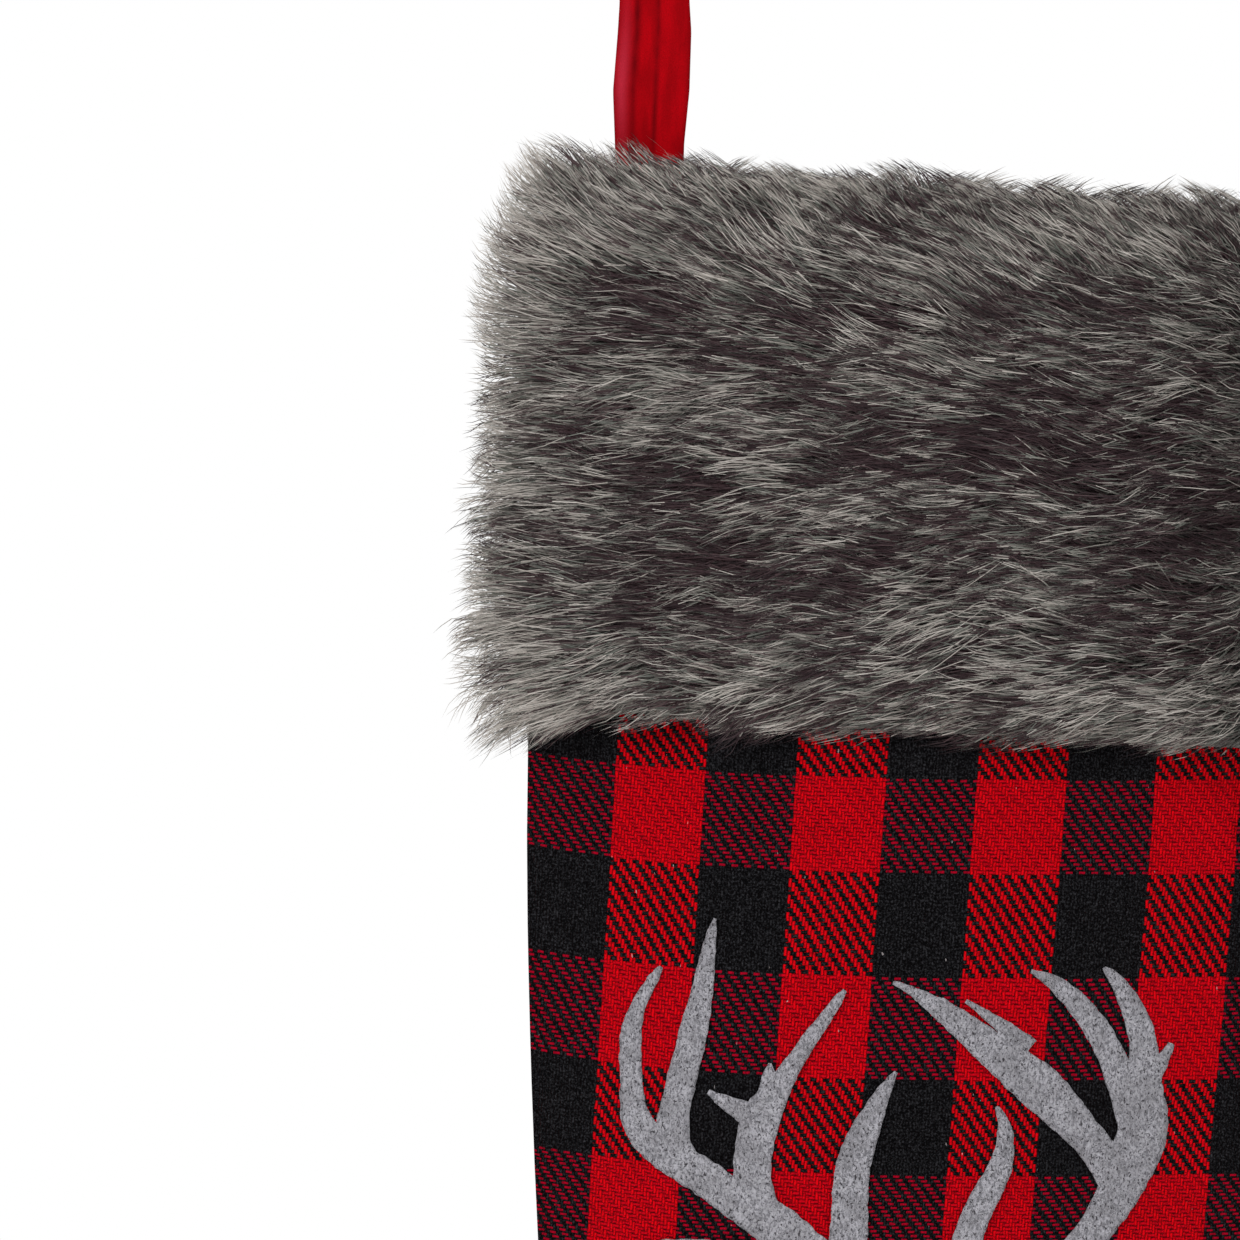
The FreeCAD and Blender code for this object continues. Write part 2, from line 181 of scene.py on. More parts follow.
def upright_node(node):
    """A CAD node's surface, welded and upright."""
    surface = bmesh.new()
    surface.from_mesh(frame["nodes"][node].data)
    bmesh.ops.remove_doubles(surface, verts=surface.verts, dist=WELD)
    surface.transform(UPRIGHT.inverted())
    surface.normal_update()
    return surface


def chained(edges):
    """Loops of points from a set of edges, each a closed walk along them."""
    neighbours = {}
    for edge in edges:
        a, b = edge.verts
        neighbours.setdefault(a, []).append(b)
        neighbours.setdefault(b, []).append(a)
    loops = []
    unused = set(neighbours)
    while unused:
        onward = [min(unused, key=lambda vert: vert.index)]
        walk = []
        while onward:
            walk.append(onward[0])
            unused.discard(onward[0])
            onward = [vert for vert in neighbours[walk[-1]] if vert in unused]
        if len(walk) > 8:
            loops.append([vert.co.copy() for vert in walk])
    return loops


def face_outlines(surface, side, steepest=0.2):
    """The outlines of the part of a surface that faces the front (-1) or the back (1)."""
    facing = {face for face in surface.faces if face.normal.y * side > steepest}
    surface.verts.index_update()
    rim = [edge for edge in surface.edges if sum(face in facing for face in edge.link_faces) == 1]
    return chained(rim)


def stepped(loop, step):
    """A closed loop with points put in so that no stretch is longer than step."""
    points = []
    for a, b in zip(loop, loop[1:] + loop[:1]):
        count = max(1, math.ceil((b - a).length / step))
        points += [a.lerp(b, i / count) for i in range(count)]
    return points


def inside_and_apart(points, loops, clearance):
    """Which (u, w) points lie inside the outlines, at least clearance from them."""
    inside = np.zeros(len(points), bool)
    nearest = np.full(len(points), np.inf)
    for loop in loops:
        corners = np.array(loop)[:, [0, 2]]
        for a, b in zip(corners, np.roll(corners, -1, axis=0)):
            along = b - a
            crosses = (points[:, 1] > a[1]) != (points[:, 1] > b[1])
            lean = along[0] / (along[1] or 1.0)
            inside ^= crosses & (points[:, 0] < a[0] + (points[:, 1] - a[1]) * lean)
            share = np.clip((points - a) @ along / max(along @ along, 1e-18), 0, 1)
            nearest = np.minimum(nearest, np.linalg.norm(points - a - share[:, None] * along, axis=1))
    return inside & (nearest > clearance)


def patch(loops, spacing):
    """Triangles that fill the outlines, with a regular grid of points between them."""
    rims = [stepped(loop, spacing) for loop in loops]
    flat = [point for rim in rims for point in rim]
    low, high = np.min(flat, 0), np.max(flat, 0)
    u, w = np.meshgrid(np.arange(low[0], high[0], spacing), np.arange(low[2], high[2], spacing))
    grid = np.stack([u.ravel(), w.ravel()], 1)
    grid = grid[inside_and_apart(grid, loops, spacing * 0.55)]
    edges = []
    first = 0
    for rim in rims:
        edges += [(first + i, first + (i + 1) % len(rim)) for i in range(len(rim))]
        first += len(rim)
    coords = [Vector((point.x, point.z)) for point in flat] + [Vector(point) for point in grid]
    filled = delaunay_2d_cdt(coords, edges, [], 4, 1e-7)
    return filled[0], [face for face in filled[2] if len(face) == 3], filled[3], flat


def lifted(loops, spacing, side, surface):
    """The patch inside the outlines, laid on the surface: points, triangles and which are on the rim."""
    points, triangles, origins, flat = patch(loops, spacing)
    tree = BVHTree.FromBMesh(surface)
    placed = np.zeros((len(points), 3))
    on_rim = np.zeros(len(points), bool)
    for i, point in enumerate(points):
        source = min(origins[i]) if origins[i] else len(flat)
        if source < len(flat):
            placed[i] = flat[source]
            on_rim[i] = True
            continue
        hit = tree.ray_cast(Vector((point.x, side, point.y)), Vector((0, -side, 0)))[0]
        placed[i] = hit if hit is not None else (point.x, 0, point.y)
    triangles = np.array(triangles, np.int32)
    facing = triangle_across(placed, triangles)[:, 1] * side > 0
    triangles[~facing] = triangles[~facing][:, ::-1]
    return placed, triangles, on_rim


def triangle_across(points, triangles):
    """Each triangle's normal, twice as long as the triangle's area."""
    a, b, c = (points[triangles[:, k]] for k in range(3))
    return np.cross(b - a, c - a)


def vertex_normals(points, triangles):
    normals = np.zeros_like(points)
    across = triangle_across(points, triangles)
    for k in range(3):
        np.add.at(normals, triangles[:, k], across)
    return normals / np.maximum(np.linalg.norm(normals, axis=1), 1e-12)[:, None]


def shell(points, triangles, thickness):
    """A closed piece of cloth: the given face, a second face behind it, and a narrower rim between them."""
    drawn_in = thickness * 0.25
    normals = vertex_normals(points, triangles)
    count = len(points)
    directed = np.concatenate([triangles[:, [0, 1]], triangles[:, [1, 2]], triangles[:, [2, 0]]])
    keys = directed[:, 0].astype(np.int64) * count + directed[:, 1]
    reverse = directed[:, 1].astype(np.int64) * count + directed[:, 0]
    rim = directed[~np.isin(keys, reverse)]
    edge = np.zeros(count, bool)
    edge[rim.ravel()] = True
    front = points.copy()
    front[edge] -= normals[edge] * drawn_in
    behind = points - normals * thickness
    behind[edge] += normals[edge] * drawn_in
    side = np.stack([rim[:, 1], rim[:, 0], rim[:, 0] + count, rim[:, 1] + count], 1)
    loops = np.concatenate([triangles.ravel(), (triangles[:, ::-1] + count).ravel(), side.ravel()])
    face_starts = np.arange(len(triangles) * 2) * 3
    side_starts = len(triangles) * 6 + np.arange(len(side)) * 4
    return np.concatenate([front, behind]), loops, np.concatenate([face_starts, side_starts])


# -------- material helpers

def srgb(red, green, blue):
    """A colour given as 0 to 255 sRGB, in the linear values that shaders use."""
    def linear(value):
        value /= 255
        return value / 12.92 if value <= 0.04045 else ((value + 0.055) / 1.055) ** 2.4
    return (linear(red), linear(green), linear(blue), 1.0)


class Shader:
    """A material's node tree with short calls for the nodes that these fabrics need."""

    def __init__(self, name, roughness, sheen=0.0, sheen_tint=(1, 1, 1, 1), specular=0.3):
        self.material = bpy.data.materials.new(name)
        self.material.use_nodes = True
        self.tree = self.material.node_tree
        self.out = self.tree.nodes["Principled BSDF"]
        sheens = {"Sheen Weight": sheen, "Sheen Roughness": 0.45, "Sheen Tint": sheen_tint}
        for entry, value in {"Roughness": roughness, "Specular IOR Level": specular, **sheens}.items():
            self.put(self.out.inputs[entry], value)

    def put(self, socket, value):
        if isinstance(value, bpy.types.NodeSocket):
            self.tree.links.new(value, socket)
        else:
            socket.default_value = value

    def node(self, kind, **inputs):
        node = self.tree.nodes.new("ShaderNode" + kind)
        for name, value in inputs.items():
            self.put(node.inputs[name], value)
        return node

    def math(self, operation, a, b=0.0, c=0.0, clamp=False):
        node = self.node("Math")
        node.operation = operation
        node.use_clamp = clamp
        for socket, value in zip(node.inputs, (a, b, c)):
            self.put(socket, value)
        return node.outputs[0]

    def add(self, a, b):
        return self.math("ADD", a, b)

    def times(self, a, b):
        return self.math("MULTIPLY", a, b)

    def line(self, value, slope, start):
        return self.math("MULTIPLY_ADD", value, slope, start)

    def mix(self, factor, a, b, blend="MIX"):
        node = self.node("Mix")
        node.data_type = "RGBA"
        node.blend_type = blend
        for socket, value in ((0, factor), (6, a), (7, b)):
            self.put(node.inputs[socket], value)
        return node.outputs[2]

    def every_second(self, value, size):
        """1 in every second stretch of the given size, otherwise 0."""
        return self.math("FLOORED_MODULO", self.math("FLOOR", self.times(value, 1 / size)), 2.0)

    def between(self, value, low, high):
        """0 below low, 1 above high, smooth between."""
        node = self.node("MapRange", **{"Value": value, "From Min": low, "From Max": high})
        node.interpolation_type = "SMOOTHSTEP"
        return node.outputs[0]

    def place(self, stretch=(1, 1, 1), turn=(0, 0, 0)):
        """The piece's own coordinates in millimetres, stretched and turned."""
        scale = [value / MM for value in stretch]
        coordinates = self.node("TexCoord").outputs["Object"]
        return self.node("Mapping", Scale=scale, Rotation=turn, Vector=coordinates).outputs[0]

    def noise(self, place, scale, detail=2.0, distortion=0.0):
        """Noise from 0 to 1 whose scale is in features per millimetre."""
        node = self.node("TexNoise", Scale=scale, Detail=detail, Distortion=distortion, Vector=place)
        return node.outputs["Fac"]

    def attribute(self, name):
        node = self.node("Attribute")
        node.attribute_name = name
        return self.node("SeparateXYZ", Vector=node.outputs["Vector"]).outputs

    def colour(self, value):
        self.put(self.out.inputs["Base Color"], value)

    def bump(self, height, depth):
        """Relief from a height of 0 to 1, depth in millimetres."""
        node = self.node("Bump", Strength=1.0, Distance=depth * MM, Height=height)
        self.put(self.out.inputs["Normal"], node.outputs[0])


# -------- materials

# The plaid, in millimetres on the flat panel as it hangs.
CHECK_ACROSS = 24.44
CHECK_DOWN = 26.8
ENDS_PER_CHECK = 28
PICKS_PER_CHECK = 24
FIRST_COLUMN = -34.3  # a black column starts here at the height COLUMN_HEIGHT
FIRST_ROW = -253.3  # a red row starts here and goes down
COLUMN_HEIGHT = -258.6
COLUMN_LEAN = 0.0577  # sideways per millimetre up, at the heel side
COLUMN_LEAN_MORE = 0.000154  # more lean for each millimetre towards the toe
ROW_RISE = 8.3  # how far the rows sag from the heel-side seam inwards
ROW_RISE_OVER = 46.0
ROW_STRETCH = 1.1  # how far the rows wander from even spacing, over a length of four rows
PANEL_EDGE = -35.0
WEFT_SHOWS = 0.15  # half the share of a pick that shows between black warp floats, before fraying
WEFT_SHOWS_MORE = 0.17  # added where the warp is red
FRAYED_MORE = 0.3  # added where the cloth is frayed
YARN_WANDERS = 0.7  # how far the yarns stray from straight
TUCKED_SHADE = 0.35  # how much lower the yarn lies, and how much darker it is painted, where it dips under another
LINT_SHOWS = 0.5


def plaid_material(name):
    """Buffalo check in a 2/2 twill of red and black yarn."""
    shader = Shader(name, 0.92, sheen=0.02, sheen_tint=srgb(255, 120, 120), specular=0.06)
    x, _, z = shader.attribute("pattern")
    inwards = shader.math("MAXIMUM", shader.add(x, -PANEL_EDGE), 0.0)
    lean = shader.line(inwards, COLUMN_LEAN_MORE, COLUMN_LEAN)
    place = shader.place()
    wander = shader.times(shader.add(shader.noise(place, 0.35, 3.0), -0.5), YARN_WANDERS)
    column = shader.math("SUBTRACT", x, shader.times(shader.add(z, -COLUMN_HEIGHT), lean))
    column = shader.add(shader.add(column, -FIRST_COLUMN), wander)
    fall = shader.math("POWER", math.e, shader.times(inwards, -1 / ROW_RISE_OVER))
    row = shader.line(shader.math("SUBTRACT", 1.0, fall), ROW_RISE, z)
    row = shader.add(shader.add(row, -FIRST_ROW), shader.times(wander, 0.7))
    stretch = shader.math("SINE", shader.times(row, 2 * math.pi / (4 * CHECK_DOWN)))
    row = shader.line(stretch, ROW_STRETCH, row)
    red_warp = shader.every_second(column, CHECK_ACROSS)
    red_weft = shader.every_second(row, CHECK_DOWN)
    end = shader.times(column, ENDS_PER_CHECK / CHECK_ACROSS)
    pick = shader.times(row, PICKS_PER_CHECK / CHECK_DOWN)
    step = shader.add(shader.math("FLOOR", end), shader.math("FLOOR", pick))
    fibre = shader.noise(place, 1.9, 4.0, 0.6)
    frayed = shader.noise(shader.place((1, 1, 0.35)), 1.3, 2.0)
    off_end, off_pick = (
        shader.math("ABSOLUTE", shader.add(shader.math("FRACT", yarns), -0.5)) for yarns in (end, pick))
    weft_half = shader.line(red_warp, WEFT_SHOWS_MORE, WEFT_SHOWS)
    weft_half = shader.line(frayed, FRAYED_MORE, weft_half)
    weft_cell = shader.math("GREATER_THAN", shader.math("FLOORED_MODULO", step, 4.0), 1.5)
    weft_over = shader.times(weft_cell, shader.math("LESS_THAN", off_pick, weft_half))
    warp_round = shader.math("SUBTRACT", 1.0, shader.math("POWER", shader.times(off_end, 2.0), 2.2))
    weft_round = shader.math("SUBTRACT", 0.85, shader.math("POWER", shader.times(off_pick, 2.2), 2.2))
    relief_and_shade = shader.mix(weft_over, warp_round, weft_round)
    tucked = shader.math("SUBTRACT", weft_cell, weft_over)
    relief_and_shade = shader.times(relief_and_shade, shader.line(tucked, -TUCKED_SHADE, 1.0))
    is_red = shader.mix(weft_over, red_warp, red_weft)
    worn = shader.noise(place, 0.09, 2.0)
    red = shader.mix(worn, srgb(232, 0, 15), srgb(254, 4, 24))
    red = shader.mix(shader.between(fibre, 0.42, 0.70), red, srgb(146, 0, 14))
    deep_red = shader.mix(shader.between(fibre, 0.4, 0.7), srgb(184, 2, 38), srgb(116, 0, 22))
    weft_red = shader.line(red_warp, -0.7, 1.0)
    red = shader.mix(shader.times(weft_over, weft_red), red, deep_red)
    black = shader.mix(shader.between(fibre, 0.42, 0.78), srgb(5, 5, 7), srgb(62, 62, 66))
    yarn = shader.mix(is_red, black, red)
    # Painted shade: the yarns darker towards their edges and where they dip under others, from the relief
    # that also drives the bump.
    yarn = shader.mix(1.0, yarn, shader.math("MULTIPLY_ADD", relief_and_shade, 0.78, 0.30, clamp=True), "MULTIPLY")
    lint = shader.noise(shader.place((1.6, 1.6, 0.5), (0.2, 0.9, 0.4)), 1.0, 0.0)
    lint = shader.between(lint, 0.885, 0.90)
    shader.colour(shader.mix(shader.times(lint, LINT_SHOWS), yarn, srgb(225, 215, 215)))
    shader.bump(shader.line(fibre, 0.5, relief_and_shade), 0.35)
    return shader.material


def felt_material():
    """Heathered grey felt: fibres of several greys with a few dark ones."""
    shader = Shader("felt_grey", 0.95, sheen=0.05, sheen_tint=srgb(230, 230, 235), specular=0.1)
    fine = shader.noise(shader.place((1, 1, 0.6), (0, 0.6, 0)), 1.5, 4.0, 1.0)
    crossed = shader.noise(shader.place((0.5, 1, 1), (0, -0.4, 0)), 1.5, 4.0, 1.0)
    cloudy = shader.noise(shader.place(), 0.16, 3.0)
    grey = shader.mix(shader.between(fine, 0.38, 0.62), srgb(124, 123, 129), srgb(190, 188, 196))
    grey = shader.mix(shader.times(shader.between(crossed, 0.52, 0.66), 0.55), grey, srgb(210, 209, 215))
    grey = shader.mix(shader.times(shader.between(cloudy, 0.35, 0.7), 0.45), grey, srgb(124, 122, 126))
    specks = shader.between(shader.noise(shader.place((1, 1, 0.7)), 1.7, 1.0), 0.61, 0.68)
    shader.colour(shader.mix(shader.times(specks, 0.85), grey, srgb(46, 42, 46)))
    shader.bump(shader.add(fine, shader.times(crossed, 0.7)), 0.45)
    return shader.material


def velvet_material():
    """Red velvet: brushed pile, with painted shade in the folds and along the edges of the tape and a
    painted sheen near its heel-side edge.
    """
    shader = Shader("velvet_red", 0.85, sheen=0.04, sheen_tint=srgb(255, 90, 100), specular=0.06)
    pile = shader.noise(shader.place((1, 1, 0.7)), 3.0, 2.0)
    brushed_tone_and_sheen = shader.noise(shader.place((0.7, 1, 0.12)), 0.45, 2.0)
    painted_crease_shade, painted_sheen, _ = shader.attribute("pile")
    red = shader.mix(shader.between(brushed_tone_and_sheen, 0.3, 0.7), srgb(162, 0, 10), srgb(192, 0, 14))
    red = shader.mix(shader.times(shader.between(pile, 0.4, 0.8), 0.35), red, srgb(128, 0, 6))
    # Painted sheen: a pale pink band along the heel-side edge of the tape.
    red = shader.mix(painted_sheen, red, srgb(210, 50, 72))
    # Painted shade: deep red where the tape folds and along its edges.
    shader.colour(shader.mix(painted_crease_shade, red, srgb(92, 0, 6)))
    shader.bump(shader.add(pile, brushed_tone_and_sheen), 0.15)
    return shader.material


def plain_weave_material(name, dark, light, threads=2.2, roughness=0.8, sheen=0.1):
    """A plain cloth with visible crossing threads, threads per millimetre."""
    shader = Shader(name, roughness, sheen=sheen, specular=0.25)
    x, _, z = shader.node("SeparateXYZ", Vector=shader.place()).outputs
    across = shader.math("SINE", shader.times(x, threads * math.pi))
    down = shader.math("SINE", shader.times(z, threads * math.pi))
    weave = shader.line(shader.times(across, down), 0.5, 0.5)
    uneven = shader.noise(shader.place(), 0.4, 3.0)
    # Part painted shade: the cloth is darker where the weave dips, from the same weave that drives the bump;
    # the rest of its tone varies at random.
    tone = shader.line(weave, 0.5, shader.times(uneven, 0.5))
    shader.colour(shader.mix(tone, dark, light))
    shader.bump(weave, 0.08)
    return shader.material


def thread_material(name, dark, light):
    shader = Shader(name, 0.6, specular=0.35)
    twist = shader.noise(shader.place((1, 1, 1), (0.6, 0.2, 0)), 3.0, 1.0)
    shader.colour(shader.mix(twist, dark, light))
    shader.bump(twist, 0.05)
    return shader.material


FUR_SHADES = [
    (36, 20, 25), (53, 34, 39), (70, 49, 53), (85, 65, 68), (96, 82, 81), (104, 101, 97),
    (121, 124, 117), (147, 146, 138), (169, 163, 156), (188, 180, 173), (205, 198, 191), (225, 219, 212),
]


def fur_materials():
    """The shades of the hairs, from the brown-black of dark tips over grey roots to cream."""
    materials = []
    for i, shade in enumerate(FUR_SHADES):
        shader = Shader(f"fur_shade_{i:02d}", 0.55, sheen=0.1, specular=0.35)
        shader.colour(srgb(*shade))
        materials.append(shader.material)
    return materials


MATERIALS = {
    "plaid": plaid_material("plaid_twill"),
    "felt": felt_material(),
    "velvet": velvet_material(),
    "lining": plain_weave_material("lining_satin", srgb(36, 36, 39), srgb(62, 62, 66), 3.0, 0.45),
    "facing": plain_weave_material("facing_grey", srgb(96, 94, 92), srgb(132, 130, 128)),
    "web": plain_weave_material("bonding_web", srgb(190, 188, 184), srgb(224, 222, 218), 1.0, 0.5),
    "label": plain_weave_material("label_satin", srgb(226, 225, 220), srgb(246, 245, 241), 4.0, 0.4),
    # The knitted ground under the hairs, coloured dark so that the gaps between hairs look shaded: partly
    # painted shade.
    "fur_ground": plain_weave_material("fur_ground", srgb(52, 50, 50), srgb(84, 82, 80), 1.2, 0.95),
    "thread_red": thread_material("thread_red", srgb(96, 0, 8), srgb(150, 8, 22)),
    "thread_black": thread_material("thread_black", srgb(14, 14, 16), srgb(44, 44, 48)),
    "thread_grey": thread_material("thread_grey", srgb(84, 82, 80), srgb(132, 130, 126)),
}
MATERIALS["plaid_back"] = MATERIALS["plaid"]
FUR_MATERIALS = fur_materials()


# -------- cloth panels

CLOTH_SPACING = 3.0 * MM
SEAM_TO_EDGE = 2.0 * MM  # from a panel's seam thread out to its edge
PLAID_THICKNESS = 1.2 * MM
LINING_THICKNESS = 0.5 * MM
FACING_THICKNESS = 0.6 * MM
FELT_SPACING = 1.2 * MM
FELT_RAGGED = 0.22 * MM  # how far the cut edge wanders
FELT_THICKNESS = 1.2 * MM
WEB_THICKNESS = 0.15 * MM
LABEL_THICKNESS = 0.3 * MM
LABEL_SPACING = 2.0 * MM
MOUTH_BAND = 0.1 * MM  # what is this near a seam's top is its mouth

# The cloth's waves: their length and depth, and how near the seams they die away.
SLOW_WAVE = 95 * MM
SLOW_DEPTH = 0.9 * MM
FINE_WAVE = 30 * MM
FINE_DEPTH = 0.22 * MM
HELD_BY_SEAM = 3 * MM


def seam_outline(thread_node):
    """A panel's outline, from the mouth's heel-side end to its toe-side end, outside its seam."""
    surface = upright_node(thread_node)
    loop = max(face_outlines(surface, -1), key=len)
    surface.free()
    top = max(point.z for point in loop)
    mouth = [i for i, point in enumerate(loop) if point.z > top - MOUTH_BAND]
    start = min(mouth, key=lambda i: loop[i].x)
    loop = loop[start:] + loop[:start]
    if loop[1].z > top - MOUTH_BAND:
        loop = loop[:1] + loop[:0:-1]
    mouth = [i for i, point in enumerate(loop) if point.z > top - MOUTH_BAND]
    finish = max(mouth, key=lambda i: loop[i].x)
    line = loop[:finish + 1]
    outline = []
    for i, point in enumerate(line):
        along = line[min(i + 1, len(line) - 1)] - line[max(i - 1, 0)]
        outwards = Vector((along.z, 0, -along.x)).normalized()
        outline.append(Vector((point.x, 0, point.z)) + outwards * SEAM_TO_EDGE)
    outline[0].z = outline[-1].z = top
    return outline


def ragged(loop):
    """A cut edge of felt: the outline with small uneven steps."""
    points = stepped(loop, FELT_SPACING)
    places = np.array(points)
    aside = [smooth_noise(places, 4 * MM, seed, 2) * FELT_RAGGED for seed in (51, 52)]
    return [point + Vector((u, 0, w)) for point, u, w in zip(points, *aside)]


def mouth_arc(outline, surface, side):
    """The points of a panel's top edge, from the toe-side end of its outline back to the heel-side end."""
    tree = BVHTree.FromBMesh(surface)
    count = math.ceil((outline[0] - outline[-1]).length / CLOTH_SPACING)
    arc = []
    for i in range(1, count):
        point = outline[-1].lerp(outline[0], i / count)
        hit = tree.ray_cast(Vector((point.x, side, point.z - 0.2 * MM)), Vector((0, -side, 0)))[0]
        arc.append(Vector((point.x, hit.y if hit else 0, point.z)))
    return arc


def ripple(points, on_rim):
    """How far a panel's waves stand out of its smooth shape. They die away along the seams."""
    slow = smooth_noise(points, SLOW_WAVE, 3) * SLOW_DEPTH
    fine = smooth_noise(points, FINE_WAVE, 4) * FINE_DEPTH
    held = 1 - np.exp(-np.abs(points[:, 1]) / HELD_BY_SEAM)
    return (slow + fine) * held * ~on_rim


def cloth_piece(name, node, side, thickness, slot, spacing=CLOTH_SPACING, outline=None, held="hung"):
    """A piece of cloth in place of a CAD node, from the outline and outer face of that node."""
    surface = upright_node(node)
    loops = [outline + mouth_arc(outline, surface, side)] if outline else face_outlines(surface, side)
    if held == "laid":
        loops = [ragged(loop) for loop in loops]
    points, triangles, on_rim = lifted(loops, spacing, side, surface)
    surface.free()
    pattern = to_row(points) / MM
    normals = vertex_normals(points, triangles)
    points = points + normals * ripple(points, on_rim & (outline is not None))[:, None]
    points, faces, starts = shell(points, triangles, thickness)
    mesh = mesh_from_arrays(name, to_row(points), faces, starts)
    store_vectors(mesh, "pattern", np.concatenate([pattern, pattern]))
    piece = new_object(name, mesh, [MATERIALS[slot]])
    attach(piece, "stocking")
    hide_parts(node)
    return piece


def cloth_pieces():
    plaid_edge = seam_outline("plaid_seam_thread")
    lining_edge = seam_outline("lining_seam_thread")
    for side, where in ((-1, "front"), (1, "back")):
        slot = "plaid" if side < 0 else "plaid_back"
        cloth_piece(f"plaid_{where}", f"plaid_panel_{where}", side, PLAID_THICKNESS, slot,
                    outline=plaid_edge)
        cloth_piece(f"lining_cloth_{where}", f"lining_{where}", side, LINING_THICKNESS, "lining",
                    outline=lining_edge)
        cloth_piece(f"facing_cloth_{where}", f"cuff_facing_{where}", side, FACING_THICKNESS, "facing")
    cloth_piece("deer", "deer_felt", -1, FELT_THICKNESS, "felt", FELT_SPACING, held="laid")
    cloth_piece("deer_web", "deer_bonding_web", -1, WEB_THICKNESS, "web", held=None)
    cloth_piece("label", "care_label", -1, LABEL_THICKNESS, "label", LABEL_SPACING)


def dress_threads():
    """The CAD threads have their real shape and only need a thread's finish."""
    for node, material in {
        "plaid_seam_thread": "thread_black", "lining_seam_thread": "thread_black",
        "cuff_side_seam_threads": "thread_grey", "cuff_hem_thread": "thread_grey",
        "mouth_seam_thread": "thread_black", "loop_bartack_thread": "thread_red",
    }.items():
        mesh = frame["nodes"][node].data
        mesh.materials.clear()
        mesh.materials.append(MATERIALS[material])


cloth_pieces()
dress_threads()


# -------- the fur cuff

def upright_box(node):
    surface = upright_node(node)
    points = np.array([vert.co for vert in surface.verts])
    surface.free()
    return points.min(0), points.max(0)


FACING_LOW, FACING_HIGH = upright_box("cuff_facing_front")
CUFF_MIDDLE_U = (FACING_LOW[0] + FACING_HIGH[0]) / 2
FACING_TO_GROUND = 2.5 * MM
GROUND_HALF_WIDTH = (FACING_HIGH[0] - FACING_LOW[0]) / 2 + FACING_TO_GROUND
GROUND_DEPTH = -FACING_LOW[1] + FACING_TO_GROUND
GROUND_TOP = FACING_HIGH[2] + 1.5 * MM  # the fur fabric rolls over the top edge of the bag
GROUND_BOTTOM = FACING_LOW[2] + 3.0 * MM
GROUND_THICKNESS = 1.0 * MM
GROUND_COLUMNS = 90
GROUND_ROWS = 60
ROLL_RADIUS = 4.0 * MM
ROLL_TURN = math.radians(115)  # how far the rolled edges turn in
INNER_U = GROUND_HALF_WIDTH - ROLL_RADIUS
INNER_Y = GROUND_DEPTH - ROLL_RADIUS

# Distances up the ground's face, from where its lower edge starts to roll in.
STRAIGHT = GROUND_TOP - GROUND_BOTTOM - 2 * ROLL_RADIUS
LOWEST = -ROLL_TURN * ROLL_RADIUS
HIGHEST = STRAIGHT + ROLL_TURN * ROLL_RADIUS

HAIR_LENGTH = 28.0 * MM
HAIR_WIDTH = 0.32 * MM
TUFT_SPACING = 6.0 * MM
HAIRS_PER_TUFT = 62
HAIR_STEPS = 5
STEEP_LIFT = 44  # degrees off the ground at a hair's root
FLAT_LIFT = 2  # and at its tip

# A hair's shades along its length, as places among FUR_SHADES, where the pile is light and where it is dark.
HAIR_PLACES = [0, 0.3, 0.6, 1]
LIGHT_RUN = [4.5, 6.5, 9.3, 10.5]
DARK_RUN = [3.5, 3.0, 1.5, 0.2]

# Which way the hairs lie: degrees up from the sideways direction, by height (millimetres below the fold).
LAY_HEIGHTS = [-150, -142, -134, -122, -108, -60, -46, -34, -20, -8, 2]
LAY_ANGLES = [-16, -13, -7, -3, -1, 1, 6, 16, 30, 38, 42]
CORNER_LAY = -20  # more at the bottom of the heel side

# The outline that the pile is trimmed to, upright: sideways place and height, in millimetres.
TRIM_LOW_U = [-42, -34, -24, -8, 40, 70, 120, 140, 160]
TRIM_LOW_W = [-161, -160, -153.5, -146.5, -148, -146.5, -147, -147, -147]
TRIM_HIGH_U = [-45, -25, 0, 60, 200]
TRIM_HIGH_W = [4, 6, 1, 0, 0]
TRIM_SIDE = 11.0 * MM  # beyond the ground, at the sides
TRIM_FACE = 8.0 * MM  # beyond the ground, at the front and the back
TRIM_UNEVEN = 2.2 * MM  # how unevenly the tufts reach the outline
BEYOND_TRIM = 0.45  # the share of a hair's reach past the trim that is left

# Places where the pile is darker (positive) or lighter: u, w and reach in millimetres, then how much.
FUR_TONES = [
    # The first six, in a line across the pile, darken it along a crease: painted shade.
    (-18, -48, 7, 0.5), (-4, -43, 7, 0.5), (12, -37, 7, 0.5), (31, -33, 8, 0.5), (48, -33, 8, 0.45),
    (66, -34, 8, 0.4), (26, -104, 9, 0.5), (15, -83, 9, 0.45), (100, -64, 18, 0.35), (130, -72, 22, 0.4),
    (156, -78, 16, 0.35), (14, -59, 12, -0.5), (-24, -90, 16, -0.25), (48, -128, 26, -0.2),
    (110, -135, 24, 0.12), (170, -100, 14, -0.4),
]


# Distances round the ground's ellipse against the angle, to place tufts evenly.
ROUND_ANGLE = np.linspace(0, 2 * math.pi, 2001)
ROUND_DISTANCE = distances(np.stack([INNER_U * np.cos(ROUND_ANGLE), -INNER_Y * np.sin(ROUND_ANGLE)], 1))
ROUND = ROUND_DISTANCE[-1]


